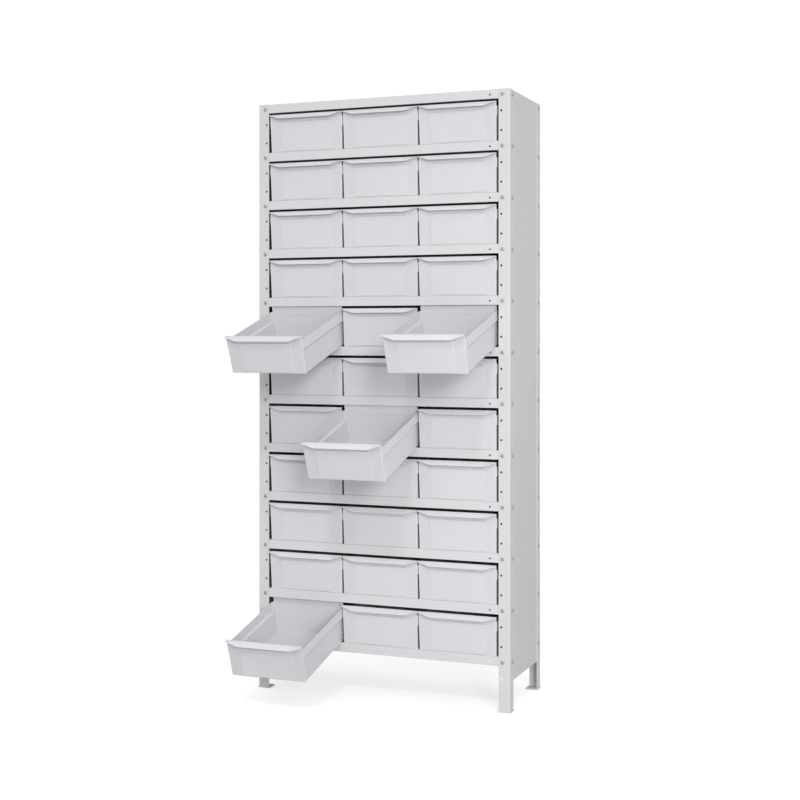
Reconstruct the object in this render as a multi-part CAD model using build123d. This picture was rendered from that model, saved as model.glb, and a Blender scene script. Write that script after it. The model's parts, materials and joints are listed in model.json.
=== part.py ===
from build123d import *
import os
from math import cos, radians, sin, tan

# Free-standing steel shelving cabinet holding a grid of pull-out plastic drawers.
# Millimetres. +X is to the right of someone facing the drawers, +Y goes from the front to
# the back, +Z is up. The floor is z = 0. The origin is on the floor, at the centre of the
# overall footprint, open drawers included. Everything is first built with the front face of
# the posts at y = 0 and moved to that origin when it is exported.

# ---------------------------------------------------------------- driving dimensions
# cabinet
CABINET_WIDTH = 900.0
CABINET_DEPTH = 350.0
CABINET_HEIGHT = 2000.0
BOTTOM_SHELF_TOP = 177.3
ROW_COUNT = 11
COLUMN_NAMES = ("left", "middle", "right")

# M6 fixings
SHANK_DIAMETER = 6.0
HOLE_CLEARANCE = 1.0
NUT_BORE_CLEARANCE = 0.2
BOLT_HEAD_DIAMETER = 12.0
BOLT_HEAD_HEIGHT = 3.2
NUT_ACROSS_FLATS = 10.0
NUT_THICKNESS = 5.0
BOLT_END_BEYOND_NUT = 2.0

# corner posts: rolled steel angle
POST_FLANGE = 38.0
POST_SHEET = 2.0
POST_BEND_INSIDE = 1.0
BOLT_INSET = 13.0
SPARE_HOLE_INSET = 9.0
SPARE_HOLE_FRACTIONS = (0.32, 0.70)

# foot plates under the posts
FOOT_OVERHANG = 2.5
FOOT_THICKNESS = 4.0
FOOT_CORNER = 3.0

# skin panels, clamped between the posts and the shelves
PANEL_SHEET = 1.0
SIDE_PANEL_BELOW_SHELF = 80.3
SIDE_PANEL_CHAMFER = 8.0

# shelves: a folded pan with flanges turned down and returned inwards at the front and back
SHELF_SHEET = 1.2
SHELF_FLANGE = 30.0
SHELF_RETURN = 20.0
SHELF_BEND_INSIDE = 0.8
SHELF_RETURN_END_GAP = 1.0
BOLT_DROP = 17.0
SHELF_PIN_HOLE = 6.0
SHELF_PIN_HOLE_INSET = 30.0

# drawers: one injection moulding each; gaps are between a drawer and its bay or neighbour
BAY_SIDE_MARGIN = 4.75
DRAWER_HEADROOM = 8.4
DRAWER_SEAT_GAP = 0.3
DRAWER_SETBACK = 4.0
DRAWER_REAR_GAP = 6.8
DRAWER_SIDE_BELOW_RIM = 15.0
DRAWER_WALL = 2.2
DRAWER_FLOOR = 2.4
LIP_GAP = 2.0
FRONT_PLATE_GAP = 4.0
SHOULDER_GAP = 4.5
TUB_GAP = 8.5
FRONT_PLATE_TAPER = 3.5
TUB_TAPER = 3.0
TUB_CORNER = 5.0
TUB_BOTTOM_EDGE = 2.0
FRONT_LEAN = 8.0
REAR_LEAN = 3.0
SHOULDER_BELOW_RIM = 49.0
SHOULDER_REAR_SETBACK = 14.0
FRONT_PLATE_THICKNESS = 3.0
LIP_REACH = 14.0
LIP_END_REACH = 10.0
LIP_END_DROP = 2.0
LIP_TAPER_LENGTH = 42.0
LIP_TAPER_STEPS = 4
LIP_DROP = 11.0
LIP_THICKNESS = 2.4
PANEL_MARGIN = 33.0
PANEL_RAISE = 1.5
PANEL_GROOVE = 2.0
PANEL_GROOVE_BELOW_RIM = 22.5
REAR_RIB_WIDTH = 130.0
REAR_RIB_HEIGHT = 2.0
REAR_RIB_RAISE = 1.2
REAR_RIB_BELOW_RIM = 14.0

# drawers standing open: (row counted from the top, column): nose-down tilt in degrees
OPEN_DRAWERS = {(5, "left"): 17.0, (5, "right"): 16.0, (7, "middle"): 17.2, (11, "left"): 14.0}
STOP_GAP = 0.3

# ---------------------------------------------------------------- derived sizes and places
ROW_PITCH = (CABINET_HEIGHT - BOTTOM_SHELF_TOP) / ROW_COUNT
HOLE_DIAMETER = SHANK_DIAMETER + HOLE_CLEARANCE
NUT_BORE = SHANK_DIAMETER + NUT_BORE_CLEARANCE
POST_BEND = POST_BEND_INSIDE + POST_SHEET
POST_INNER_X = CABINET_WIDTH / 2 - POST_FLANGE
SHELF_BEND = SHELF_BEND_INSIDE + SHELF_SHEET
SHELF_WIDTH = CABINET_WIDTH - 2 * (POST_SHEET + PANEL_SHEET)
SHELF_FRONT_Y = POST_SHEET
SHELF_REAR_Y = CABINET_DEPTH - POST_SHEET - PANEL_SHEET
SHELF_TOPS = [CABINET_HEIGHT - ROW_PITCH * index for index in range(ROW_COUNT + 1)]
BOLT_HEIGHTS = [top - BOLT_DROP for top in SHELF_TOPS]
BOLT_X = POST_INNER_X + BOLT_INSET
BOLT_Y_FRONT = POST_FLANGE - BOLT_INSET
BOLT_Y_REAR = CABINET_DEPTH - BOLT_Y_FRONT
COLUMN_PITCH = 2 * (POST_INNER_X - BAY_SIDE_MARGIN) / len(COLUMN_NAMES)
DRAWER_REAR_LIMIT = SHELF_REAR_Y - SHELF_SHEET - DRAWER_REAR_GAP
DRAWER_LENGTH = DRAWER_REAR_LIMIT - REAR_LEAN - DRAWER_SETBACK
DRAWER_HEIGHT = ROW_PITCH - SHELF_FLANGE - DRAWER_SEAT_GAP - DRAWER_HEADROOM
DRAWER_SIDE_HEIGHT = DRAWER_HEIGHT - DRAWER_SIDE_BELOW_RIM
SHOULDER_HEIGHT = DRAWER_HEIGHT - SHOULDER_BELOW_RIM
LIP_WIDTH = COLUMN_PITCH - LIP_GAP
SHOULDER_WIDTH = COLUMN_PITCH - SHOULDER_GAP
TUB_WIDTH_TOP = COLUMN_PITCH - TUB_GAP
FRONT_PLATE_WIDTH_TOP = COLUMN_PITCH - FRONT_PLATE_GAP


def spare_hole_heights() -> list[float]:
    """Heights of the unused holes in a post: below every shelf bolt, once below the last."""
    heights = [z - ROW_PITCH * share for z in BOLT_HEIGHTS[:-1] for share in SPARE_HOLE_FRACTIONS]
    return heights + [BOLT_HEIGHTS[-1] - ROW_PITCH * SPARE_HOLE_FRACTIONS[0]]


def block(x0: float, x1: float, y0: float, y1: float, z0: float, z1: float) -> Solid:
    """A box given by its low and high limits along each axis."""
    return Pos((x0 + x1) / 2, (y0 + y1) / 2, (z0 + z1) / 2) * Box(x1 - x0, y1 - y0, z1 - z0)


def drill(axis: str, x: float, y: float, z: float, diameter: float, length: float) -> Solid:
    """A round cutter or bar centred on a point, along X or along Y."""
    turn = Rot(0, 90, 0) if axis == "X" else Rot(90, 0, 0)
    return Pos(x, y, z) * turn * Cylinder(diameter / 2, length)


def prism(low_z, low_x, low_y, high_z, high_x, high_y) -> Solid:
    """A solid whose level sections run evenly from one rectangle to another.

    low_x and high_x are half widths; low_y and high_y are (front, rear) limits.
    """
    sections = []
    for z, half, (front, rear) in ((low_z, low_x, low_y), (high_z, high_x, high_y)):
        plane = Plane((0, (front + rear) / 2, z))
        sections.append(plane * Rectangle(2 * half, rear - front))
    return loft(sections, ruled=True)


# ---------------------------------------------------------------- frame
def make_post() -> Solid:
    """The front left post; the others are its mirror images."""
    left = -CABINET_WIDTH / 2
    profile = make_face(
        Polyline(
            (left, 0),
            (left + POST_FLANGE, 0),
            (left + POST_FLANGE, POST_SHEET),
            (left + POST_SHEET, POST_SHEET),
            (left + POST_SHEET, POST_FLANGE),
            (left, POST_FLANGE),
            close=True,
        )
    )
    corners = profile.vertices().group_by(Axis.X)[0].sort_by(Axis.Y)
    profile = fillet(corners[0], POST_BEND)
    inner = profile.vertices().sort_by_distance((left + POST_SHEET, POST_SHEET, 0))[0]
    profile = fillet(inner, POST_BEND_INSIDE)
    post = extrude(profile, CABINET_HEIGHT - FOOT_THICKNESS).moved(Location((0, 0, FOOT_THICKNESS)))
    cutters = []
    for inset, heights in ((BOLT_INSET, BOLT_HEIGHTS), (SPARE_HOLE_INSET, spare_hole_heights())):
        reach = POST_FLANGE - inset
        for z in heights:
            cutters.append(drill("Y", left + reach, 0, z, HOLE_DIAMETER, 4 * POST_SHEET))
            cutters.append(drill("X", left, reach, z, HOLE_DIAMETER, 4 * POST_SHEET))
    return post - cutters


def make_foot() -> Solid:
    """The front left foot plate, welded under its post."""
    left = -CABINET_WIDTH / 2 - FOOT_OVERHANG
    size = POST_FLANGE + 2 * FOOT_OVERHANG
    plate = block(left, left + size, -FOOT_OVERHANG, size - FOOT_OVERHANG, 0, FOOT_THICKNESS)
    return fillet(plate.edges().filter_by(Axis.Z), FOOT_CORNER)


def at_corner(shape: Solid, rear: bool, right: bool) -> Solid:
    """Mirror a front left piece to another corner of the cabinet."""
    if right:
        shape = mirror(shape, Plane.YZ)
    if rear:
        shape = mirror(shape, Plane.XZ.offset(-CABINET_DEPTH / 2))
    return shape


def make_side_panel() -> Solid:
    """The left skin, from the top of the cabinet to below the lowest shelf."""
    outer = -CABINET_WIDTH / 2 + POST_SHEET
    front = POST_SHEET + POST_BEND_INSIDE
    rear = SHELF_REAR_Y - POST_BEND_INSIDE
    bottom = BOTTOM_SHELF_TOP - SIDE_PANEL_BELOW_SHELF
    panel = block(outer, outer + PANEL_SHEET, front, rear, bottom, CABINET_HEIGHT)
    low_corners = panel.edges().filter_by(Axis.X).group_by(Axis.Z)[0]
    panel = chamfer(low_corners, SIDE_PANEL_CHAMFER)
    holes = [
        drill("X", outer, y, z, HOLE_DIAMETER, 4 * POST_SHEET)
        for z in BOLT_HEIGHTS
        for y in (BOLT_Y_FRONT, BOLT_Y_REAR)
    ]
    return panel - holes


def make_back_panel() -> Solid:
    """The rear skin, from the top of the cabinet to the lowest shelf's flange."""
    half = CABINET_WIDTH / 2 - POST_SHEET - POST_BEND_INSIDE
    bottom = SHELF_TOPS[-1] - SHELF_FLANGE
    panel = block(-half, half, SHELF_REAR_Y, SHELF_REAR_Y + PANEL_SHEET, bottom, CABINET_HEIGHT)
    holes = [
        drill("Y", x, SHELF_REAR_Y, z, HOLE_DIAMETER, 4 * POST_SHEET)
        for z in BOLT_HEIGHTS
        for x in (-BOLT_X, BOLT_X)
    ]
    return panel - holes


def make_shelf() -> Solid:
    """A shelf pan with its top surface at z = 0."""
    half = SHELF_WIDTH / 2
    front, rear = SHELF_FRONT_Y, SHELF_REAR_Y
    pan = block(-half, half, front, rear, -SHELF_FLANGE, 0)
    folds = pan.edges().filter_by(Axis.Z) + pan.edges().group_by(Axis.Z)[-1]
    pan = fillet(folds, SHELF_BEND)
    inside = block(
        -half + SHELF_SHEET,
        half - SHELF_SHEET,
        front + SHELF_SHEET,
        rear - SHELF_SHEET,
        -SHELF_FLANGE,
        -SHELF_SHEET,
    )
    inside_folds = inside.edges().filter_by(Axis.Z) + inside.edges().group_by(Axis.Z)[-1]
    pan -= fillet(inside_folds, SHELF_BEND_INSIDE)
    end = half - SHELF_SHEET - SHELF_RETURN_END_GAP
    low, high = -SHELF_FLANGE, -SHELF_FLANGE + SHELF_SHEET
    pan += block(-end, end, front + SHELF_SHEET / 2, front + SHELF_RETURN, low, high)
    pan += block(-end, end, rear - SHELF_RETURN, rear - SHELF_SHEET / 2, low, high)
    holes = []
    for x in (-BOLT_X, BOLT_X):
        for y in (front, rear):
            holes.append(drill("Y", x, y, -BOLT_DROP, HOLE_DIAMETER, 4 * SHELF_SHEET))
    for y in (BOLT_Y_FRONT, BOLT_Y_REAR):
        for x in (-half, half):
            holes.append(drill("X", x, y, -BOLT_DROP, HOLE_DIAMETER, 4 * SHELF_SHEET))
    pin_x = POST_INNER_X - SHELF_PIN_HOLE_INSET
    holes.append(drill("Y", pin_x, front, -BOLT_DROP, SHELF_PIN_HOLE, 4 * SHELF_SHEET))
    holes.append(drill("Y", -pin_x, rear, -BOLT_DROP, SHELF_PIN_HOLE, 4 * SHELF_SHEET))
    return pan - holes


def make_bolt(grip: float) -> Solid:
    """A round-headed bolt along +Z with the underside of its head at z = 0."""
    head = Pos(0, 0, -BOLT_HEAD_HEIGHT / 2) * Cylinder(BOLT_HEAD_DIAMETER / 2, BOLT_HEAD_HEIGHT)
    head = fillet(head.edges().group_by(Axis.Z)[0], BOLT_HEAD_HEIGHT * 0.6)
    length = grip + NUT_THICKNESS + BOLT_END_BEYOND_NUT
    return head + Pos(0, 0, length / 2) * Cylinder(SHANK_DIAMETER / 2, length)


def make_nut(grip: float) -> Solid:
    """The hexagon nut that draws up against the inner face of the clamped sheets."""
    hexagon = RegularPolygon(NUT_ACROSS_FLATS / 2, 6, major_radius=False)
    ring = hexagon - Circle(NUT_BORE / 2)
    return Pos(0, 0, grip) * extrude(ring, NUT_THICKNESS)


def fixing_places() -> list[tuple[Location, float]]:
    """Where each fixing enters a post, and the thickness of the sheets it clamps."""
    front_grip = POST_SHEET + SHELF_SHEET
    skin_grip = front_grip + PANEL_SHEET
    side = CABINET_WIDTH / 2
    places = []
    for z in BOLT_HEIGHTS:
        for x in (-BOLT_X, BOLT_X):
            places.append((Pos(x, 0, z) * Rot(-90, 0, 0), front_grip))
            places.append((Pos(x, CABINET_DEPTH, z) * Rot(90, 0, 0), skin_grip))
        for y in (BOLT_Y_FRONT, BOLT_Y_REAR):
            places.append((Pos(-side, y, z) * Rot(0, 90, 0), skin_grip))
            places.append((Pos(side, y, z) * Rot(0, -90, 0), skin_grip))
    return places


# ---------------------------------------------------------------- drawers
def front_y(z: float) -> float:
    """Outer face of a drawer's leaning front wall at height z."""
    return -FRONT_LEAN * z / DRAWER_HEIGHT


def rear_y(z: float) -> float:
    """Outer face of a drawer's leaning rear wall at height z."""
    return DRAWER_LENGTH + REAR_LEAN * z / DRAWER_HEIGHT


def tub_half(z: float) -> float:
    """Outer half width of the lower tub at height z."""
    return (TUB_WIDTH_TOP - TUB_TAPER * (1 - z / DRAWER_HEIGHT)) / 2


def plate_half(z: float) -> float:
    """Half width of the front plate at height z."""
    return (FRONT_PLATE_WIDTH_TOP - FRONT_PLATE_TAPER * (1 - z / DRAWER_HEIGHT)) / 2


def tub_solid(low: float, high: float, inset: float) -> Solid:
    """The tapering tub between two heights, inset by a wall thickness."""
    front, rear = inset, -inset
    return prism(
        low,
        tub_half(low) - inset,
        (front_y(low) + front, rear_y(low) + rear),
        high,
        tub_half(high) - inset,
        (front_y(high) + front, rear_y(high) + rear),
    )


def upright_edges(shape: Solid) -> ShapeList:
    """The four steep corner edges of a tapering block."""
    tall = shape.bounding_box().size.Z * 0.9
    return shape.edges().filter_by(lambda edge: edge.bounding_box().size.Z > tall)


def lip_section(x: float, share: float) -> Face:
    """A cut across the pull lip at x; share is 0 at the lip's ends and 1 over its straight part."""
    reach = LIP_END_REACH + share * (LIP_REACH - LIP_END_REACH)
    drop = LIP_END_DROP + share * (LIP_DROP - LIP_END_DROP)
    rim = front_y(DRAWER_HEIGHT)
    root = rim + FRONT_PLATE_THICKNESS / 2
    tip = rim - reach
    outline = Polyline(
        (x, root, DRAWER_HEIGHT),
        (x, rim, DRAWER_HEIGHT),
        (x, tip, DRAWER_HEIGHT - drop),
        (x, tip, DRAWER_HEIGHT - drop - LIP_THICKNESS),
        (x, root, DRAWER_HEIGHT - LIP_THICKNESS),
        close=True,
    )
    return make_face(outline)


def make_lip() -> Solid:
    """The pull lip: it slopes down and forwards from the rim, and levels out towards its ends."""
    right = []
    for step in range(LIP_TAPER_STEPS + 1):
        along = step / LIP_TAPER_STEPS
        share = along * along * (3 - 2 * along)
        right.append((LIP_WIDTH / 2 - LIP_TAPER_LENGTH * along, share))
    left = [(-x, share) for x, share in right]
    sections = [lip_section(x, share) for x, share in left + right[::-1]]
    return loft(sections, ruled=True)


def make_drawer() -> Solid:
    """A drawer with its bottom front edge on the X axis and its bottom on z = 0."""
    tub = tub_solid(0, DRAWER_HEIGHT, 0)
    tub = fillet(upright_edges(tub), TUB_CORNER)
    tub = fillet(tub.edges().group_by(Axis.Z)[0], TUB_BOTTOM_EDGE)
    shoulder_half = SHOULDER_WIDTH / 2
    shoulder_rear = DRAWER_LENGTH - SHOULDER_REAR_SETBACK
    shoulder = prism(
        SHOULDER_HEIGHT,
        shoulder_half,
        (front_y(SHOULDER_HEIGHT) + DRAWER_WALL, shoulder_rear),
        DRAWER_HEIGHT,
        shoulder_half,
        (front_y(DRAWER_HEIGHT) + DRAWER_WALL, shoulder_rear),
    )
    plate = prism(
        0,
        plate_half(0),
        (front_y(0), front_y(0) + FRONT_PLATE_THICKNESS),
        DRAWER_HEIGHT,
        plate_half(DRAWER_HEIGHT),
        (front_y(DRAWER_HEIGHT), front_y(DRAWER_HEIGHT) + FRONT_PLATE_THICKNESS),
    )
    body = tub + shoulder + plate

    inside = tub_solid(DRAWER_FLOOR, DRAWER_HEIGHT + DRAWER_FLOOR, DRAWER_WALL)
    inside = fillet(upright_edges(inside), TUB_CORNER - DRAWER_WALL)
    ledge = SHOULDER_HEIGHT + DRAWER_WALL
    top = DRAWER_HEIGHT + DRAWER_FLOOR
    inside += prism(
        ledge,
        shoulder_half - DRAWER_WALL,
        (front_y(ledge) + 2 * DRAWER_WALL, shoulder_rear - DRAWER_WALL),
        top,
        shoulder_half - DRAWER_WALL,
        (front_y(top) + 2 * DRAWER_WALL, shoulder_rear - DRAWER_WALL),
    )
    body -= inside

    for side in (-1, 1):
        low_x, high_x = sorted((side * (tub_half(0) - TUB_CORNER), side * LIP_WIDTH))
        body -= block(
            low_x,
            high_x,
            front_y(DRAWER_SIDE_HEIGHT) + FRONT_PLATE_THICKNESS,
            DRAWER_LENGTH - TUB_CORNER,
            DRAWER_SIDE_HEIGHT,
            2 * DRAWER_HEIGHT,
        )

    panel_top = DRAWER_HEIGHT - LIP_DROP
    groove_top = DRAWER_HEIGHT - PANEL_GROOVE_BELOW_RIM
    for low, high in ((TUB_BOTTOM_EDGE, groove_top - PANEL_GROOVE), (groove_top, panel_top)):
        body += prism(
            low,
            plate_half(low) - PANEL_MARGIN,
            (front_y(low) - PANEL_RAISE, front_y(low) + DRAWER_WALL),
            high,
            plate_half(high) - PANEL_MARGIN,
            (front_y(high) - PANEL_RAISE, front_y(high) + DRAWER_WALL),
        )
    body += make_lip()
    rib_z = DRAWER_HEIGHT - REAR_RIB_BELOW_RIM
    rib_y = rear_y(rib_z) - DRAWER_WALL
    half_rib = REAR_RIB_WIDTH / 2
    rib_front, rib_back = rib_y - REAR_RIB_RAISE, rib_y + DRAWER_WALL / 2
    body += block(-half_rib, half_rib, rib_front, rib_back, rib_z, rib_z + REAR_RIB_HEIGHT)
    return body


def open_pull(tilt: float) -> float:
    """How far a drawer is drawn out when, tipped by tilt, its rear rim meets its stop.

    The drawer rocks on the rounded front edge of its shelf, and the rear rim comes up under
    the return of the shelf flange above.
    """
    angle = radians(tilt)
    rim_height = SHELF_BEND + DRAWER_SEAT_GAP + DRAWER_HEIGHT
    ceiling = ROW_PITCH - SHELF_FLANGE + SHELF_BEND - STOP_GAP
    reach_inside = (ceiling - rim_height * cos(angle)) / sin(angle)
    return DRAWER_LENGTH + REAR_LEAN - reach_inside


def place_drawer(drawer: Solid, row: int, column: str) -> Solid:
    """Put a drawer in its bay, closed or drawn out and tipped."""
    x = COLUMN_PITCH * (COLUMN_NAMES.index(column) - 1)
    shelf_top = SHELF_TOPS[row]
    edge_y = SHELF_FRONT_Y + SHELF_BEND
    if (row, column) not in OPEN_DRAWERS:
        return Pos(x, DRAWER_SETBACK, shelf_top + DRAWER_SEAT_GAP) * drawer
    tilt = OPEN_DRAWERS[(row, column)]
    rocker = Pos(x, edge_y, shelf_top - SHELF_BEND) * Rot(tilt, 0, 0)
    return rocker * Pos(0, -open_pull(tilt), SHELF_BEND + DRAWER_SEAT_GAP) * drawer


# ---------------------------------------------------------------- assembly
def build_nodes() -> dict:
    """Every node of the assembly, with the posts' front face at y = 0."""
    nodes = {}
    post, foot = make_post(), make_foot()
    for end, rear in (("front", False), ("rear", True)):
        for side, right in (("left", False), ("right", True)):
            nodes[f"post_{end}_{side}"] = at_corner(post, rear, right)
            nodes[f"foot_plate_{end}_{side}"] = at_corner(foot, rear, right)
    side_panel = make_side_panel()
    nodes["side_panel_left"] = side_panel
    nodes["side_panel_right"] = mirror(side_panel, Plane.YZ)
    nodes["back_panel"] = make_back_panel()
    shelf = make_shelf()
    for index, top in enumerate(SHELF_TOPS):
        nodes[f"shelf_{index + 1:02d}"] = Pos(0, 0, top) * shelf
    places = fixing_places()
    nodes["shelf_bolts"] = Compound([place * make_bolt(grip) for place, grip in places])
    nodes["shelf_nuts"] = Compound([place * make_nut(grip) for place, grip in places])
    drawer = make_drawer()
    for row in range(1, ROW_COUNT + 1):
        for column in COLUMN_NAMES:
            nodes[f"drawer_{row:02d}_{column}"] = place_drawer(drawer, row, column)
    return nodes


def footprint_centre_y(nodes: dict) -> float:
    """Middle of the assembly from the foremost open drawer to the rearmost bolt head."""
    boxes = [shape.bounding_box() for shape in nodes.values()]
    return (min(box.min.Y for box in boxes) + max(box.max.Y for box in boxes)) / 2


def main() -> None:
    """Build the assembly and write one STEP file per node."""
    os.makedirs("parts", exist_ok=True)
    nodes = build_nodes()
    shift = -footprint_centre_y(nodes)
    print("front face of the posts at y =", round(shift, 4))
    for name, shape in nodes.items():
        export_step(Pos(0, shift, 0) * shape, f"parts/{name}.step")


main()
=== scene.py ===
"""Dresses a steel parts cabinet and its pull-out drawers, and sets up the studio round it."""

import json
import logging
from dataclasses import dataclass, field
from enum import Enum
from math import cos, radians, sin

import bmesh
import bpy
from mathutils import Matrix, Vector


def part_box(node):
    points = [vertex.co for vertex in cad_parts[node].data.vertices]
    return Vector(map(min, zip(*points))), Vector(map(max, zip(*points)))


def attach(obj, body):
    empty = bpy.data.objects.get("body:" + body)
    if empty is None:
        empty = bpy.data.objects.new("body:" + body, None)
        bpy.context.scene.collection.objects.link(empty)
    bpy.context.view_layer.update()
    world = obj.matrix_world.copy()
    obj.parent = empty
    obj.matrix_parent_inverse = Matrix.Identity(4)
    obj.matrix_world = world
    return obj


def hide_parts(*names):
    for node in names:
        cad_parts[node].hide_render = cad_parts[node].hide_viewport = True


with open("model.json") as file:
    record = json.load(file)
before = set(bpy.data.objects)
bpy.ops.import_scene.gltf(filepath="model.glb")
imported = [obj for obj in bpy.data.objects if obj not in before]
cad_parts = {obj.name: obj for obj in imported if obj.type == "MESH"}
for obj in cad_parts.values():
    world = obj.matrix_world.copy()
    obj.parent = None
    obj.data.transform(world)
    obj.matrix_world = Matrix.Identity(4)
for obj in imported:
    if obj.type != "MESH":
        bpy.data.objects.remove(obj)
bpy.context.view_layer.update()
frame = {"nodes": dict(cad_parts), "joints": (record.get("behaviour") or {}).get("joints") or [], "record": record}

LOG = logging.getLogger("cabinet")
MM = 0.001
# Face attribute for the lighter edge strips: partly rubbed wear, partly a painted edge highlight.
WEAR_AND_HIGHLIGHT = "edge_wear_and_highlight"
CABINET = "cabinet"
FIXING_NODES = ("shelf_bolts", "shelf_nuts")
WHITE = (1.0, 1.0, 1.0, 1.0)

# What counts as one point, as flat, sharp or smooth (angles in degrees), and as facing an axis
# (the least share of the normal that lies along it).
WELD_DISTANCE = 0.002 * MM
CUT_DISTANCE = 0.00001 * MM
SAME_PLACE = 0.001 * MM
FLAT_ANGLE = 0.6
EDGE_ANGLE = 28.0
SMOOTH_ANGLE = 40.0
CREASE_ANGLE = 60.0
FACING = 0.9

# Sockets of a colour mix node, which share their names.
MIX_FACTOR = 0
MIX_FIRST = 6
MIX_SECOND = 7
MIX_RESULT = 2

Colour = tuple[float, float, float]
Span = tuple[float, float]
Node = bpy.types.Node


# ---------------------------------------------------------------- finishes
class Slot(Enum):
    """The record's material slots."""

    POST = "post_steel"
    PANEL = "panel_steel"
    SHELF = "shelf_steel"
    FIXING = "fixing_zinc"
    DRAWER = "drawer_plastic"


@dataclass(frozen=True)
class Pattern:
    """A noise pattern: features per metre, octaves, and the scale of each axis for streaks."""

    scale: float
    detail: float = 2.0
    stretch: tuple[float, float, float] = (1.0, 1.0, 1.0)


class Nodes:
    """A short way to write a material's node tree."""

    def __init__(self, name: str) -> None:
        """Start a material with an empty tree.

        Args:
            name: The material's name.
        """
        self.material = bpy.data.materials.new(name)
        self.material.use_nodes = True
        self.tree = self.material.node_tree
        self.tree.nodes.clear()
        self.output = self.add("ShaderNodeOutputMaterial")
        self.shader = self.add("ShaderNodeBsdfPrincipled")
        self.join(self.shader, "BSDF", self.output, "Surface")
        self.coordinates = self.add("ShaderNodeTexCoord")

    def add(self, kind: str, **values: object) -> Node:
        """Add a node.

        Args:
            kind: The node's type.
            **values: Attributes of the node, or values of its inputs by socket name with
                underscores for spaces.

        Returns:
            The new node.
        """
        node = self.tree.nodes.new(kind)
        for key, value in values.items():
            if hasattr(node, key):
                setattr(node, key, value)
            else:
                node.inputs[key.replace("_", " ")].default_value = value
        return node

    def join(self, source: Node, out: str | int, target: Node, into: str | int) -> None:
        """Link an output to an input."""
        self.tree.links.new(source.outputs[out], target.inputs[into])

    def noise(self, pattern: Pattern) -> Node:
        """Make a noise pattern in object space.

        Args:
            pattern: The pattern's sizes.

        Returns:
            The noise node.
        """
        mapping = self.add("ShaderNodeMapping")
        mapping.inputs["Scale"].default_value = pattern.stretch
        self.join(self.coordinates, "Object", mapping, "Vector")
        node = self.add("ShaderNodeTexNoise", Scale=pattern.scale, Detail=pattern.detail)
        self.join(mapping, "Vector", node, "Vector")
        return node

    def ramp(self, noise: Node, span: Span) -> Node:
        """Spread part of a pattern's range over 0 to 1.

        Args:
            noise: The noise node.
            span: The values that become 0 and 1.

        Returns:
            The map range node.
        """
        node = self.add("ShaderNodeMapRange", From_Min=span[0], From_Max=span[1])
        self.join(noise, "Fac", node, "Value")
        return node

    def scaled(self, source: Node, out: str, share: float) -> Node:
        """Multiply a value by a constant.

        Args:
            source: The node that gives the value.
            out: Its output.
            share: The constant.

        Returns:
            The math node.
        """
        node = self.add("ShaderNodeMath", operation="MULTIPLY")
        node.inputs[1].default_value = share
        self.join(source, out, node, 0)
        return node

    def blend(self, noise: Node, colour: Colour, shades: Span) -> Node:
        """Vary a colour between a darker and a lighter shade by a pattern.

        Args:
            noise: The noise node.
            colour: The colour.
            shades: Its share where the pattern is 0 and where it is 1.

        Returns:
            The mix node.
        """
        node = self.add("ShaderNodeMix", data_type="RGBA")
        node.inputs[MIX_FIRST].default_value = (*shade(colour, shades[0]), 1)
        node.inputs[MIX_SECOND].default_value = (*shade(colour, shades[1]), 1)
        self.join(noise, "Fac", node, MIX_FACTOR)
        return node

    def over(self, below: Node, factor: Node, top: Colour) -> Node:
        """Lay a colour over a mix node's colour.

        Args:
            below: The mix node underneath.
            factor: The math node that says where the colour shows.
            top: The colour on top.

        Returns:
            The new mix node.
        """
        node = self.add("ShaderNodeMix", data_type="RGBA")
        self.join(below, MIX_RESULT, node, MIX_FIRST)
        node.inputs[MIX_SECOND].default_value = (*top, 1)
        self.join(factor, "Value", node, MIX_FACTOR)
        return node

    def marks(self, below: Node, noise: Node, span: Span, strength: float, colour: Colour) -> Node:
        """Lay faint marks over a colour where a pattern is high.

        Args:
            below: The mix node underneath.
            noise: The noise node that places the marks.
            span: The pattern's values where a mark begins and is full.
            strength: How strong a full mark is.
            colour: The marks' colour.

        Returns:
            The new mix node.
        """
        return self.over(below, self.scaled(self.ramp(noise, span), "Result", strength), colour)

    def rubbed_and_highlit_edges(self, below: Node, pattern: Pattern, span: Span, colour: Colour) -> Node:
        """Lay a lighter colour over the edges, partly rubbed wear and partly a painted edge highlight, broken up
        by a pattern.

        Args:
            below: The mix node underneath.
            pattern: The pattern that breaks the lighter edges up.
            span: The pattern's values where the lighter edge begins and is full.
            colour: The colour of the lighter edge, rubbed and highlighted.

        Returns:
            The new mix node.
        """
        # Lighter edge strips: partly rubbed wear, partly a painted edge highlight.
        wear_and_highlight = self.add("ShaderNodeAttribute", attribute_name=WEAR_AND_HIGHLIGHT)
        edge = self.add("ShaderNodeMath", operation="MULTIPLY")
        self.join(wear_and_highlight, "Fac", edge, 0)
        self.join(self.ramp(self.noise(pattern), span), "Result", edge, 1)
        return self.over(below, edge, colour)

    def paint(self, colour: Node) -> None:
        """Use a mix node's colour as the base colour."""
        self.join(colour, MIX_RESULT, self.shader, "Base Color")

    def gloss(self, noise: Node, roughness: float, change: Span) -> None:
        """Let the roughness follow a pattern.

        Args:
            noise: The noise node.
            roughness: The finish's usual roughness.
            change: What is added to it where the pattern is 0 and where it is 1.
        """
        low, high = roughness + change[0], roughness + change[1]
        node = self.add("ShaderNodeMapRange", To_Min=low, To_Max=high)
        self.join(noise, "Fac", node, "Value")
        self.join(node, "Result", self.shader, "Roughness")

    def bump(self, layers: list[tuple[Pattern, float]]) -> None:
        """Stack height patterns into the shader's normal.

        Args:
            layers: Pairs of a pattern and the depth of its relief in metres.
        """
        last = None
        for pattern, depth in layers:
            node = self.add("ShaderNodeBump", Strength=1.0, Distance=depth)
            self.join(self.noise(pattern), "Fac", node, "Height")
            if last is not None:
                self.join(last, "Normal", node, "Normal")
            last = node
        self.join(last, "Normal", self.shader, "Normal")


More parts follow.
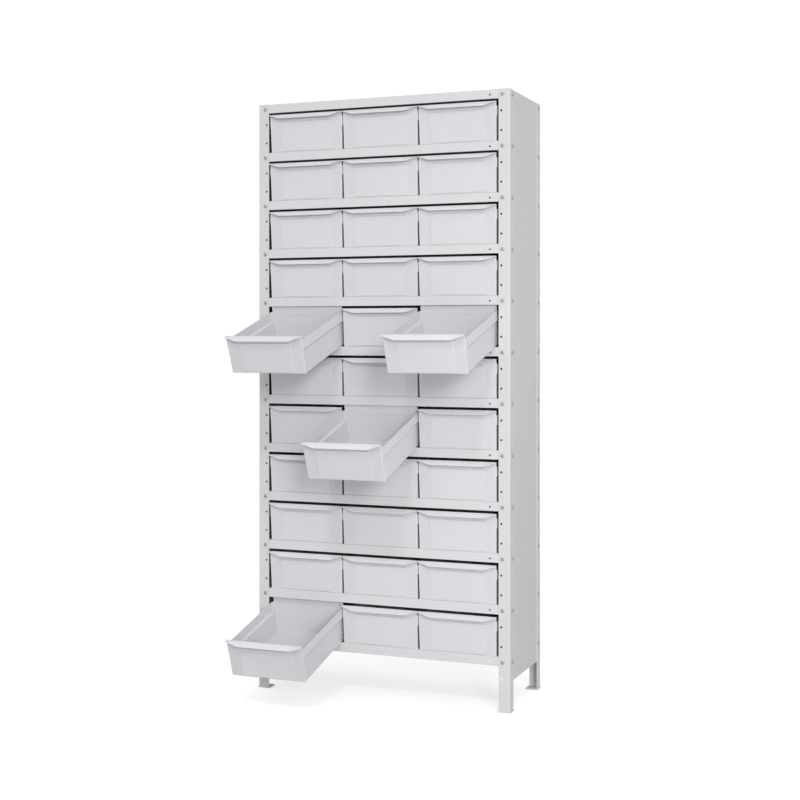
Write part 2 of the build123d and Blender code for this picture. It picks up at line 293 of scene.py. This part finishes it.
def shade(colour: Colour, share: float) -> Colour:
    """A colour made lighter or darker by a share."""
    return tuple(min(1.0, part * share) for part in colour)


@dataclass(frozen=True)
class PowderCoat:
    """Textured powder coat on sheet steel, with faint grime and lighter edges that are partly rubbed wear and
    partly a painted highlight.
    """

    name: str
    colour: Colour
    roughness: float = 0.42
    roughness_change: Span = (-0.07, 0.10)
    clouds: Pattern = Pattern(2.6, 4.0)
    cloud_shades: Span = (0.955, 1.035)
    streaks: Pattern = Pattern(9.0, 6.0, (6.0, 6.0, 0.6))
    grime_span: Span = (0.60, 0.78)
    grime_strength: float = 0.16
    grime_shade: float = 0.72
    # Lighter edge strips: partly rubbed wear, partly a painted edge highlight.
    chips_and_highlight: Pattern = Pattern(160.0, 3.0)
    chip_and_highlight_span: Span = (0.42, 0.70)
    chip_and_highlight_shade: float = 1.16
    grain: Pattern = Pattern(620.0)
    grain_depth: float = 0.06 * MM
    waves: Pattern = Pattern(14.0)
    wave_depth: float = 0.3 * MM

    def material(self) -> bpy.types.Material:
        """Build the material.

        Returns:
            The new material.
        """
        nodes = Nodes(self.name)
        streaks = nodes.noise(self.streaks)
        base = nodes.blend(nodes.noise(self.clouds), self.colour, self.cloud_shades)
        grime = shade(self.colour, self.grime_shade)
        soiled = nodes.marks(base, streaks, self.grime_span, self.grime_strength, grime)
        # The lighter edges are partly rubbed wear and partly a painted edge highlight.
        bright = shade(self.colour, self.chip_and_highlight_shade)
        nodes.paint(nodes.rubbed_and_highlit_edges(soiled, self.chips_and_highlight, self.chip_and_highlight_span, bright))
        nodes.gloss(streaks, self.roughness, self.roughness_change)
        nodes.bump([(self.grain, self.grain_depth), (self.waves, self.wave_depth)])
        return nodes.material


@dataclass(frozen=True)
class MouldedPlastic:
    """Satin moulded plastic with a spark-eroded grain, flow marks, handling scuffs, and lighter edges that are
    partly rubbed and partly a painted highlight.
    """

    name: str
    colour: Colour
    roughness: float = 0.36
    roughness_change: Span = (-0.05, 0.12)
    flow: Pattern = Pattern(5.0, 3.0)
    flow_shades: Span = (0.965, 1.03)
    scuffs: Pattern = Pattern(55.0, 5.0, (1.0, 0.12, 1.0))
    scuff_span: Span = (0.62, 0.74)
    scuff_strength: float = 0.10
    scuff_shade: float = 1.12
    # Lighter edge strips: partly rubbed wear, partly a painted edge highlight.
    rub_and_highlight: Pattern = Pattern(120.0, 3.0)
    rub_and_highlight_span: Span = (0.35, 0.75)
    rub_and_highlight_shade: float = 1.14
    glow_share: float = 0.2
    glow_depth: float = 3.0 * MM
    grain: Pattern = Pattern(1300.0)
    grain_depth: float = 0.03 * MM
    ripple: Pattern = Pattern(22.0)
    ripple_depth: float = 0.15 * MM

    def material(self) -> bpy.types.Material:
        """Build the material.

        Returns:
            The new material.
        """
        nodes = Nodes(self.name)
        scuffs = nodes.noise(self.scuffs)
        base = nodes.blend(nodes.noise(self.flow), self.colour, self.flow_shades)
        pale = shade(self.colour, self.scuff_shade)
        scuffed = nodes.marks(base, scuffs, self.scuff_span, self.scuff_strength, pale)
        # The lighter edges are partly rubbed wear and partly a painted edge highlight.
        bright = shade(self.colour, self.rub_and_highlight_shade)
        nodes.paint(nodes.rubbed_and_highlit_edges(scuffed, self.rub_and_highlight, self.rub_and_highlight_span, bright))
        nodes.gloss(scuffs, self.roughness, self.roughness_change)
        nodes.shader.inputs["Subsurface Weight"].default_value = self.glow_share
        nodes.shader.inputs["Subsurface Radius"].default_value = (1.0, 1.0, 1.0)
        nodes.shader.inputs["Subsurface Scale"].default_value = self.glow_depth
        nodes.bump([(self.grain, self.grain_depth), (self.ripple, self.ripple_depth)])
        return nodes.material


@dataclass(frozen=True)
class ZincPlate:
    """Bright zinc on small fixings, a little dulled."""

    name: str
    colour: Colour
    roughness: float = 0.46
    roughness_change: Span = (-0.08, 0.14)
    metallic: float = 0.85
    haze: Pattern = Pattern(180.0, 4.0)
    haze_shades: Span = (0.86, 1.08)
    grain: Pattern = Pattern(900.0)
    grain_depth: float = 0.02 * MM

    def material(self) -> bpy.types.Material:
        """Build the material.

        Returns:
            The new material.
        """
        nodes = Nodes(self.name)
        haze = nodes.noise(self.haze)
        nodes.paint(nodes.blend(haze, self.colour, self.haze_shades))
        nodes.gloss(haze, self.roughness, self.roughness_change)
        nodes.shader.inputs["Metallic"].default_value = self.metallic
        nodes.bump([(self.grain, self.grain_depth)])
        return nodes.material


# ---------------------------------------------------------------- mesh helpers
def merged_copy(node: str) -> bmesh.types.BMesh:
    """A welded copy of a frame node, with its flat faces whole again.

    Args:
        node: The node's name.

    Returns:
        The new mesh, in the frame's place.
    """
    mesh = bmesh.new()
    mesh.from_mesh(frame["nodes"][node].data)
    bmesh.ops.remove_doubles(mesh, verts=mesh.verts[:], dist=WELD_DISTANCE)
    bmesh.ops.dissolve_limit(
        mesh,
        angle_limit=radians(FLAT_ANGLE),
        use_dissolve_boundaries=False,
        verts=mesh.verts[:],
        edges=mesh.edges[:],
    )
    return mesh


def block(mesh: bmesh.types.BMesh, low: Vector, high: Vector) -> None:
    """Add an upright block between two corners.

    Args:
        mesh: The mesh to add to.
        low: The lowest corner.
        high: The highest corner.
    """
    size = Matrix.Diagonal((*(high - low), 1))
    place = Matrix.Translation((low + high) / 2) @ size
    bmesh.ops.create_cube(mesh, size=1.0, matrix=place)
    bmesh.ops.recalc_face_normals(mesh, faces=mesh.faces[:])


def rise(edge: bmesh.types.BMEdge) -> float:
    """How far an edge climbs."""
    return abs(edge.verts[0].co.z - edge.verts[1].co.z)


def middle_of(edge: bmesh.types.BMEdge) -> Vector:
    """The middle point of an edge."""
    return (edge.verts[0].co + edge.verts[1].co) / 2


def bevel(
    mesh: bmesh.types.BMesh, edges: list[bmesh.types.BMEdge], width: float, segments: int
) -> list[bmesh.types.BMFace]:
    """Round some edges.

    Args:
        mesh: The mesh to change.
        edges: The edges to round.
        width: The round's width in metres.
        segments: Faces across the round.

    Returns:
        The new faces.
    """
    made = bmesh.ops.bevel(
        mesh,
        geom=edges,
        offset=width,
        offset_type="OFFSET",
        segments=segments,
        profile=0.5,
        affect="EDGES",
        clamp_overlap=True,
        loop_slide=True,
        material=-1,
    )
    return made["faces"]


def cut(
    mesh: bmesh.types.BMesh,
    point: Vector,
    normal: Vector,
    region: list[bmesh.types.BMFace] | None = None,
) -> list[bmesh.types.BMFace]:
    """Cut edges into a mesh along a plane, without taking anything away.

    Args:
        mesh: The mesh to cut.
        point: A point on the plane.
        normal: The plane's normal.
        region: The faces to cut, or None for all.

    Returns:
        The faces that were cut or kept.
    """
    faces = mesh.faces[:] if region is None else region
    edges = list(dict.fromkeys(edge for face in faces for edge in face.edges))
    verts = list(dict.fromkeys(vert for face in faces for vert in face.verts))
    made = bmesh.ops.bisect_plane(
        mesh, geom=faces + edges + verts, dist=CUT_DISTANCE, plane_co=point, plane_no=normal
    )
    return [item for item in made["geom"] if isinstance(item, bmesh.types.BMFace)]


def soften(mesh: bmesh.types.BMesh, width: float, segments: int = 2) -> None:
    """Round every sharp edge and mark the new faces for the lighter edge strip, partly rubbed wear and partly a
    painted highlight.

    Args:
        mesh: The mesh to change.
        width: The bevel's width in metres.
        segments: Faces across each bevel.
    """
    # This face layer places the lighter edge strip: rubbed wear and painted highlight.
    layer = mesh.faces.layers.float.new(WEAR_AND_HIGHLIGHT)
    sharp = [
        edge
        for edge in mesh.edges
        if len(edge.link_faces) == 2 and edge.calc_face_angle(0) > radians(EDGE_ANGLE)
    ]
    for face in bevel(mesh, sharp, width, segments):
        face[layer] = 1.0


def to_piece(
    mesh: bmesh.types.BMesh,
    name: str,
    material: bpy.types.Material,
    slot: Slot,
    body: str,
    *nodes: str,
) -> bpy.types.Object:
    """Turn a finished mesh into a piece that stands for its frame nodes.

    Args:
        mesh: The mesh, in the frame's place; it is freed.
        name: The piece's name.
        material: Its finish.
        slot: The record's slot for that finish; not used.
        body: The body that it rides on.
        *nodes: The frame nodes that it replaces.

    Returns:
        The new object.
    """
    data = bpy.data.meshes.new(name)
    mesh.to_mesh(data)
    mesh.free()
    data.materials.append(material)
    data.shade_smooth()
    data.set_sharp_from_angle(angle=radians(SMOOTH_ANGLE))
    piece = bpy.data.objects.new(name, data)
    bpy.context.scene.collection.objects.link(piece)
    normals = piece.modifiers.new("broad faces stay flat", "WEIGHTED_NORMAL")
    normals.mode = "FACE_AREA"
    normals.weight = 50
    normals.keep_sharp = True
    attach(piece, body)
    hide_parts(*nodes)
    return piece


# ---------------------------------------------------------------- the cabinet
@dataclass
class SteelFrame:
    """Posts, foot plates, skins and shelves."""

    post_edge: float = 0.35 * MM
    sheet_edge: float = 0.25 * MM
    post: bpy.types.Material = field(
        default_factory=lambda: PowderCoat("powder coat, posts", (0.565, 0.565, 0.575)).material()
    )
    panel: bpy.types.Material = field(
        default_factory=lambda: PowderCoat("powder coat, panels", (0.55, 0.55, 0.56)).material()
    )
    shelf: bpy.types.Material = field(
        default_factory=lambda: PowderCoat("powder coat, shelves", (0.58, 0.58, 0.59)).material()
    )

    def finish_for(self, node: str) -> tuple[bpy.types.Material, Slot, float]:
        """Choose a node's finish.

        Args:
            node: The node's name.

        Returns:
            Its material, its slot and the width of its softened edges.
        """
        if node.startswith(("post", "foot")):
            return self.post, Slot.POST, self.post_edge
        if node.startswith("shelf"):
            return self.shelf, Slot.SHELF, self.sheet_edge
        return self.panel, Slot.PANEL, self.sheet_edge

    def build(self) -> list[bpy.types.Object]:
        """Make every sheet steel piece.

        Returns:
            The pieces.
        """
        pieces = []
        for node in frame["record"]["behaviour"]["bodies"][CABINET]:
            if node in FIXING_NODES:
                continue
            material, slot, width = self.finish_for(node)
            mesh = merged_copy(node)
            soften(mesh, width)
            pieces.append(to_piece(mesh, f"{node}_sheet", material, slot, CABINET, node))
        return pieces


@dataclass
class Fixings:
    """The bolts and nuts that hold the shelves to the posts."""

    edge: float = 0.3 * MM
    zinc: bpy.types.Material = field(
        default_factory=lambda: ZincPlate("zinc plate", (0.46, 0.46, 0.48)).material()
    )

    def build(self) -> list[bpy.types.Object]:
        """Make both groups.

        Returns:
            The two pieces.
        """
        pieces = []
        for node in FIXING_NODES:
            mesh = merged_copy(node)
            soften(mesh, self.edge, segments=1)
            pieces.append(to_piece(mesh, f"{node}_plated", self.zinc, Slot.FIXING, CABINET, node))
        return pieces


# ---------------------------------------------------------------- drawers
@dataclass
class DrawerMould:
    """One moulded drawer, with its bottom front edge on the X axis and its floor on z = 0."""

    length: float = 332.0 * MM
    height: float = 127.0 * MM
    side_height: float = 112.0 * MM
    tub_width: float = 261.6 * MM
    tub_taper: float = 3.0 * MM
    tub_setback: float = 0.6 * MM
    corner: float = 5.0 * MM
    corner_segments: int = 4
    bottom_edge: float = 2.5 * MM
    bottom_segments: int = 3
    wall: float = 2.2 * MM
    front_lean: float = 8.0 * MM
    rear_lean: float = 3.0 * MM
    low_side_setback: float = 1.2 * MM
    shoulder_width: float = 269.2 * MM
    shoulder_height: float = 74.5 * MM
    shoulder_slope: float = 7.5 * MM
    shoulder_rear: float = 317.0 * MM
    plate_width: float = 267.5 * MM
    plate_taper: float = 3.5 * MM
    plate_thickness: float = 3.0 * MM
    plate_corner: float = 1.6 * MM
    plate_foot: float = 0.15 * MM
    panel_margin: float = 39.5 * MM
    panel_foot: float = 3.0 * MM
    panel_raise: float = 1.6 * MM
    panel_slope: float = 0.7 * MM
    groove_height: float = 102.0 * MM
    groove_width: float = 2.4 * MM
    panel_top: float = 113.0 * MM
    lip_width: float = 269.5 * MM
    lip_reach: float = 14.0 * MM
    lip_end_reach: float = 10.0 * MM
    lip_drop: float = 13.0 * MM
    lip_end_drop: float = 2.0 * MM
    lip_taper: float = 47.0 * MM
    lip_thickness: float = 2.4 * MM
    lip_flatness: float = 0.6
    lip_columns: int = 48
    lip_rows: int = 5
    rib_width: float = 210.0 * MM
    rib_height: float = 2.0 * MM
    rib_raise: float = 1.2 * MM
    rib_drop: float = 28.0 * MM
    sink_length: float = 8.0 * MM
    sink_height: float = 6.0 * MM
    sink_depth: float = 1.7 * MM
    sink_front: float = 4.0 * MM
    sink_below_shoulder: float = 0.5 * MM
    sink_rim: float = 0.35 * MM
    edge: float = 0.45 * MM

    def lean(self, at: Vector, taper: float) -> None:
        """Draw a point of an upright block in and out to the mould's draft.

        Args:
            at: The point, changed in place.
            taper: How much narrower the block is at its foot, in all.
        """
        share = at.z / self.height
        at.x -= (1 - share) * taper / 2 * (1 if at.x > 0 else -1)
        at.y += share * (self.rear_lean if at.y > self.length / 2 else -self.front_lean)

    def shell(self) -> bmesh.types.BMesh:
        """Make the tub: a tapering box with rounded corners, low sides and a shoulder along each.

        Returns:
            The tub, with its walls and floor.
        """
        mesh = bmesh.new()
        half = self.tub_width / 2
        block(mesh, Vector((-half, self.tub_setback, 0)), Vector((half, self.length, self.height)))
        for vert in mesh.verts:
            self.lean(vert.co, self.tub_taper)
        top = [face for face in mesh.faces if face.normal.z > FACING]
        bmesh.ops.delete(mesh, geom=top, context="FACES_ONLY")
        upright = [edge for edge in mesh.edges if rise(edge) > self.height / 2]
        bevel(mesh, upright, self.corner, self.corner_segments)
        bottom = [edge for edge in mesh.edges if middle_of(edge).z < SAME_PLACE]
        rim = [edge for edge in bottom if edge.calc_face_angle(0) > radians(CREASE_ANGLE)]
        bevel(mesh, rim, self.bottom_edge, self.bottom_segments)
        self.lower_sides(mesh)
        self.raise_shoulders(mesh)
        bmesh.ops.recalc_face_normals(mesh, faces=mesh.faces[:])
        bmesh.ops.solidify(mesh, geom=mesh.faces[:], thickness=self.wall)
        bmesh.ops.recalc_face_normals(mesh, faces=mesh.faces[:])
        self.sink_marks(mesh)
        return mesh

    def lower_sides(self, mesh: bmesh.types.BMesh) -> None:
        """Cut the side walls down between the front plate and the rear corners.

        Args:
            mesh: The tub's outer skin.
        """
        rear = self.length - self.corner
        cut(mesh, Vector((0, 0, self.side_height)), Vector((0, 0, 1)))
        cut(mesh, Vector((0, rear, 0)), Vector((0, 1, 0)))
        cut(mesh, Vector((0, self.low_side_setback - self.front_lean, 0)), Vector((0, 1, 0)))
        spare = [
            face
            for face in mesh.faces
            if face.calc_center_median().z > self.side_height
            and abs(face.calc_center_median().x) > self.tub_width / 2 - self.corner
            and face.calc_center_median().y < rear
        ]
        bmesh.ops.delete(mesh, geom=spare, context="FACES")

    def raise_shoulders(self, mesh: bmesh.types.BMesh) -> None:
        """Slope each side wall outwards at the shoulder line.

        Args:
            mesh: The tub's outer skin.
        """
        top = self.shoulder_height + self.shoulder_slope
        end = self.shoulder_rear + self.shoulder_slope
        cut(mesh, Vector((0, 0, self.shoulder_height)), Vector((0, 0, 1)))
        cut(mesh, Vector((0, 0, top)), Vector((0, 0, 1)))
        cut(mesh, Vector((0, self.shoulder_rear, 0)), Vector((0, 1, 0)))
        cut(mesh, Vector((0, end, 0)), Vector((0, 1, 0)))
        for vert in mesh.verts:
            at = vert.co
            on_side = abs(at.x) > self.tub_width / 2 - self.tub_taper
            before_end = at.y < self.shoulder_rear + SAME_PLACE
            if on_side and before_end and top - SAME_PLACE < at.z < self.side_height + SAME_PLACE:
                at.x = (1 if at.x > 0 else -1) * self.shoulder_width / 2

    def sink_marks(self, mesh: bmesh.types.BMesh) -> None:
        """Press a small pocket into each side, just behind the front plate.

        Args:
            mesh: The tub with its walls.
        """
        foot = self.shoulder_height - self.sink_below_shoulder - self.sink_height
        low = Vector((0, self.sink_front, foot))
        high = low + Vector((0, self.sink_length, self.sink_height))
        middle = (low + high) / 2
        for side in (-1, 1):
            region = [
                face
                for face in mesh.faces
                if face.normal.x * side > FACING
                and abs(face.calc_center_median().x) > self.tub_width / 2 - self.tub_taper
            ]
            for normal in (Vector((0, 0, 1)), Vector((0, 1, 0))):
                for point in (low, high):
                    region = cut(mesh, point, normal, region)
            pocket = min(region, key=lambda face: (face.calc_center_median().yz - middle.yz).length)
            bmesh.ops.inset_region(
                mesh,
                faces=[pocket],
                thickness=self.sink_rim,
                depth=-self.sink_depth,
                use_even_offset=True,
            )

    def plate(self) -> bmesh.types.BMesh:
        """Make the front plate, with a raised panel that a groove divides.

        Returns:
            The plate.
        """
        mesh = bmesh.new()
        half = self.plate_width / 2
        low = Vector((-half, 0, self.plate_foot))
        block(mesh, low, Vector((half, self.plate_thickness, self.height)))
        for vert in mesh.verts:
            self.lean(vert.co, self.plate_taper)
        upright = [
            edge for edge in mesh.edges if rise(edge) > self.height / 2 and middle_of(edge).y < 0
        ]
        bevel(mesh, upright, self.plate_corner, self.corner_segments)
        inner = half - self.panel_margin
        draft = self.plate_taper / 2 / self.height
        for side in (-1, 1):
            cut(mesh, Vector((side * inner, 0, self.height)), Vector((side, 0, -draft)))
        levels = (
            self.panel_foot,
            self.groove_height,
            self.groove_height + self.groove_width,
            self.panel_top,
        )
        for level in levels:
            cut(mesh, Vector((0, 0, level)), Vector((0, 0, 1)))
        for bottom, top in (levels[:2], levels[2:]):
            panel = [
                face
                for face in mesh.faces
                if face.normal.y < -FACING
                and bottom < face.calc_center_median().z < top
                and abs(face.calc_center_median().x) < inner / 2
            ]
            bmesh.ops.inset_region(
                mesh,
                faces=panel,
                thickness=self.panel_slope,
                depth=self.panel_raise,
                use_even_offset=True,
            )
        bmesh.ops.recalc_face_normals(mesh, faces=mesh.faces[:])
        return mesh

    def lip(self) -> bmesh.types.BMesh:
        """Make the pull lip: a bent strip that levels out towards both ends.

        Returns:
            The lip.
        """
        mesh = bmesh.new()
        bmesh.ops.create_grid(mesh, x_segments=self.lip_columns, y_segments=self.lip_rows, size=0.5)
        rim = -self.front_lean
        for vert in mesh.verts:
            x = vert.co.x * self.lip_width
            along = 0.5 - vert.co.y
            share = min(1.0, (self.lip_width / 2 - abs(x)) / self.lip_taper)
            share = share * share * (3 - 2 * share)
            reach = self.lip_end_reach + share * (self.lip_reach - self.lip_end_reach)
            drop = self.lip_end_drop + share * (self.lip_drop - self.lip_end_drop)
            bow = 1 - cos(radians(90) * along)
            fall = self.lip_flatness * along + (1 - self.lip_flatness) * bow
            y = rim + self.plate_thickness / 2 - along * (reach + self.plate_thickness / 2)
            vert.co = Vector((x, y, self.height - drop * fall))
        bmesh.ops.solidify(mesh, geom=mesh.faces[:], thickness=self.lip_thickness)
        bmesh.ops.recalc_face_normals(mesh, faces=mesh.faces[:])
        return mesh

    def rear_rib(self) -> bmesh.types.BMesh:
        """Make the rib across the inside of the rear wall.

        Returns:
            The rib.
        """
        mesh = bmesh.new()
        level = self.height - self.rib_drop
        back = self.length + self.rear_lean * level / self.height - self.wall
        low = Vector((-self.rib_width / 2, back - self.rib_raise, level))
        high = Vector((self.rib_width / 2, back + self.wall / 2, level + self.rib_height))
        block(mesh, low, high)
        return mesh

    def build(self) -> bpy.types.Mesh:
        """Join the drawer's forms into one mesh with softened edges.

        Returns:
            The mesh, in the drawer's own frame.
        """
        whole = bmesh.new()
        for part in (self.shell(), self.plate(), self.lip(), self.rear_rib()):
            soften(part, self.edge)
            data = bpy.data.meshes.new("drawer form")
            part.to_mesh(data)
            part.free()
            whole.from_mesh(data)
            bpy.data.meshes.remove(data)
        finished = bpy.data.meshes.new("drawer")
        whole.to_mesh(finished)
        whole.free()
        return finished


@dataclass
class DrawerBank:
    """All the drawers: the closed ones on their shelves, the open ones tipped on the shelf edge."""

    mould: DrawerMould = field(default_factory=DrawerMould)
    seat: float = 2.3 * MM
    plastic: bpy.types.Material = field(
        default_factory=lambda: MouldedPlastic("moulded plastic", (0.600, 0.597, 0.625)).material()
    )

    def place(self, node: str, body: str) -> Matrix:
        """Where a drawer stands at rest.

        Args:
            node: The drawer's frame node.
            body: The body that it is.

        Returns:
            The matrix from the drawer's own frame.
        """
        low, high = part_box(node)
        middle = (low.x + high.x) / 2
        joint = next(entry for entry in frame["joints"] if entry["child"] == body)
        if joint["type"] == "slide":
            front = low.y + self.mould.front_lean + self.mould.lip_reach
            return Matrix.Translation((middle, front, low.z))
        pivot = Vector(joint["pos_m"])
        tilt = radians(joint["range_deg"][1])
        pull = (pivot.z + self.seat * cos(tilt) - low.z) / sin(tilt)
        tip = Matrix.Rotation(tilt, 4, "X")
        pushed = Matrix.Translation((middle - pivot.x, -pull, self.seat))
        return Matrix.Translation(pivot) @ tip @ pushed

    def build(self) -> list[bpy.types.Object]:
        """Make every drawer from the one mould.

        Returns:
            The pieces.
        """
        pieces = []
        pattern = self.mould.build()
        for body, nodes in frame["record"]["behaviour"]["bodies"].items():
            if body == CABINET:
                continue
            mesh = bmesh.new()
            mesh.from_mesh(pattern)
            bmesh.ops.transform(mesh, matrix=self.place(nodes[0], body), verts=mesh.verts[:])
            name = f"{nodes[0]}_moulding"
            pieces.append(to_piece(mesh, name, self.plastic, Slot.DRAWER, body, nodes[0]))
        bpy.data.meshes.remove(pattern)
        return pieces


# ---------------------------------------------------------------- the studio
@dataclass
class Studio:
    """Floor, light and camera."""

    floor_size: float = 60.0
    floor_colour: Colour = (0.52, 0.52, 0.52)
    floor_clouds: Pattern = Pattern(0.8)
    floor_shades: Span = (0.99, 1.01)
    floor_roughness: float = 0.8
    floor_shine: float = 0.1
    floor_glow: float = 0.62
    ambient: float = 0.73
    seen_sky: float = 1.05
    film_width: float = 36.0
    lens: float = 62.26
    far_limit: float = 200.0
    yaw: float = 21.76
    eye: Vector = field(default_factory=lambda: Vector((1.7632, -4.2510, 1.212)))
    shift_y: float = -0.082
    key_strength: float = 1.12
    key_spread: float = 14.0
    key_rise: float = 15.0
    key_turn: float = 34.0
    top_strength: float = 0.50
    top_spread: float = 7.0
    top_rise: float = 46.0
    top_turn: float = 12.0
    strip_power: float = 14.0
    strip_size: tuple[float, float] = (0.7, 1.9)
    strip_place: Vector = field(default_factory=lambda: Vector((1.3, -1.6, 1.15)))

    def floor(self) -> None:
        """Lay a plain pale floor, which looks brighter than the light it throws back."""
        nodes = Nodes("pale floor")
        clouds = nodes.noise(self.floor_clouds)
        nodes.paint(nodes.blend(clouds, self.floor_colour, self.floor_shades))
        nodes.shader.inputs["Roughness"].default_value = self.floor_roughness
        nodes.shader.inputs["Specular IOR Level"].default_value = self.floor_shine
        nodes.shader.inputs["Emission Color"].default_value = WHITE
        glow = nodes.scaled(nodes.add("ShaderNodeLightPath"), "Is Camera Ray", self.floor_glow)
        nodes.join(glow, "Value", nodes.shader, "Emission Strength")
        mesh = bmesh.new()
        bmesh.ops.create_grid(mesh, x_segments=1, y_segments=1, size=self.floor_size / 2)
        data = bpy.data.meshes.new("floor")
        mesh.to_mesh(data)
        mesh.free()
        data.materials.append(nodes.material)
        floor = bpy.data.objects.new("floor", data)
        bpy.context.scene.collection.objects.link(floor)

    def sky(self) -> None:
        """Set a plain white surround: bright to look at, softer as a light."""
        world = bpy.data.worlds.new("studio")
        world.use_nodes = True
        tree = world.node_tree
        tree.nodes.clear()
        output = tree.nodes.new("ShaderNodeOutputWorld")
        mix = tree.nodes.new("ShaderNodeMixShader")
        path = tree.nodes.new("ShaderNodeLightPath")
        soft = tree.nodes.new("ShaderNodeBackground")
        soft.inputs["Color"].default_value = WHITE
        soft.inputs["Strength"].default_value = self.ambient
        seen = tree.nodes.new("ShaderNodeBackground")
        seen.inputs["Color"].default_value = WHITE
        seen.inputs["Strength"].default_value = self.seen_sky
        tree.links.new(path.outputs["Is Camera Ray"], mix.inputs[0])
        tree.links.new(soft.outputs[0], mix.inputs[1])
        tree.links.new(seen.outputs[0], mix.inputs[2])
        tree.links.new(mix.outputs[0], output.inputs["Surface"])
        bpy.context.scene.world = world

    def distant_light(self, name: str, strength: float, spread: float, rise: float, turn: float) -> None:
        """Hang a broad, distant light in front of the cabinet.

        Args:
            name: The light's name.
            strength: Its irradiance.
            spread: The width of its disc, in degrees.
            rise: Its height above the horizon, in degrees.
            turn: How far it stands to the right of the front, in degrees.
        """
        data = bpy.data.lights.new(name, "SUN")
        data.energy = strength
        data.angle = radians(spread)
        light = bpy.data.objects.new(name, data)
        light.rotation_euler = (radians(90 - rise), 0, radians(turn))
        bpy.context.scene.collection.objects.link(light)

    def strip_light(self) -> None:
        """Stand a tall soft panel on the right, which makes the right side a little brighter."""
        data = bpy.data.lights.new("strip", "AREA")
        data.shape = "RECTANGLE"
        data.size, data.size_y = self.strip_size
        data.energy = self.strip_power
        light = bpy.data.objects.new("strip", data)
        light.location = self.strip_place
        light.visible_camera = False
        aim = Vector((0, 0, self.strip_place.z)) - self.strip_place
        light.rotation_euler = aim.to_track_quat("-Z", "Y").to_euler()
        bpy.context.scene.collection.objects.link(light)

    def camera(self) -> None:
        """Set a level camera to the right of the front, at chest height."""
        data = bpy.data.cameras.new("camera")
        data.sensor_width = self.film_width
        data.lens = self.lens
        data.shift_y = self.shift_y
        data.clip_end = self.far_limit
        camera = bpy.data.objects.new("camera", data)
        camera.location = self.eye
        camera.rotation_euler = (radians(90), 0, radians(self.yaw))
        bpy.context.scene.collection.objects.link(camera)
        bpy.context.scene.camera = camera

    def build(self) -> None:
        """Set up the whole studio."""
        self.floor()
        self.sky()
        self.distant_light("key", self.key_strength, self.key_spread, self.key_rise, self.key_turn)
        self.distant_light("top", self.top_strength, self.top_spread, self.top_rise, self.top_turn)
        self.strip_light()
        self.camera()


def main() -> None:
    """Build and report the pieces, then set up the studio."""
    for assembly in (SteelFrame, Fixings, DrawerBank):
        for piece in assembly().build():
            LOG.info("%s: %d faces", piece.name, len(piece.data.polygons))
    Studio().build()
    bpy.context.scene.view_settings.view_transform = "Standard"


if __name__ == "__main__":
    logging.basicConfig(level=logging.INFO)
    main()
